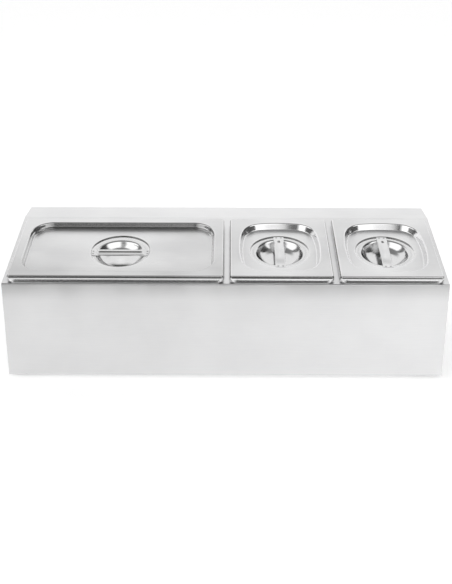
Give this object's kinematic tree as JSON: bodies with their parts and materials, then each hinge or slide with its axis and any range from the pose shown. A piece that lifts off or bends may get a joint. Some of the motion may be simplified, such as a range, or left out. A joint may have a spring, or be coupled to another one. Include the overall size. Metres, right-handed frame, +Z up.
{
  "type": "condiment station",
  "caption": "Countertop condiment station: folded steel stand with a sloping deck that holds one wide and two small food pans, each with a lift-off lid and strap handle.",
  "frame": {"origin": "on the table, under the middle of the stand's outline", "axes": "+X to the right along the stand, +Y from the front to the back, +Z up"},
  "size_m": [0.669, 0.2576, 0.2033],
  "materials": {
    "stand_steel": "satin",
    "pan_steel": "satin",
    "lid_steel": "satin rim and floor, polished recess and dish",
    "handle_steel": "satin",
    "fastener_steel": "zinc plated",
    "foot_rubber": "matte"
  },
  "bodies": {
    "stand": {"front_and_deck_panel": "stand_steel", "left_end_panel": "stand_steel", "right_end_panel": "stand_steel", "foot_front_left": "foot_rubber", "foot_front_right": "foot_rubber", "foot_rear_left": "foot_rubber", "foot_rear_right": "foot_rubber", "foot_screws": "fastener_steel", "foot_washers": "fastener_steel", "foot_nuts": "fastener_steel"},
    "large_pan": {"large_pan": "pan_steel"},
    "middle_pan": {"middle_pan": "pan_steel"},
    "right_pan": {"right_pan": "pan_steel"},
    "large_lid": {"large_lid": "lid_steel", "large_lid_handle": "handle_steel"},
    "middle_lid": {"middle_lid": "lid_steel", "middle_lid_handle": "handle_steel"},
    "right_lid": {"right_lid": "lid_steel", "right_lid_handle": "handle_steel"}
  },
  "joints": [
    {"name": "large_pan_lift", "type": "slide", "parent": "stand", "child": "large_pan", "axis": [0, -0.2079, 0.9781], "range_m": [0, 0.165]},
    {"name": "large_lid_lift", "type": "slide", "parent": "large_pan", "child": "large_lid", "axis": [0, -0.2079, 0.9781], "range_m": [0, 0.1]},
    {"name": "middle_pan_lift", "type": "slide", "parent": "stand", "child": "middle_pan", "axis": [0, -0.2079, 0.9781], "range_m": [0, 0.165]},
    {"name": "middle_lid_lift", "type": "slide", "parent": "middle_pan", "child": "middle_lid", "axis": [0, -0.2079, 0.9781], "range_m": [0, 0.1]},
    {"name": "right_pan_lift", "type": "slide", "parent": "stand", "child": "right_pan", "axis": [0, -0.2079, 0.9781], "range_m": [0, 0.165]},
    {"name": "right_lid_lift", "type": "slide", "parent": "right_pan", "child": "right_lid", "axis": [0, -0.2079, 0.9781], "range_m": [0, 0.1]}
  ]
}
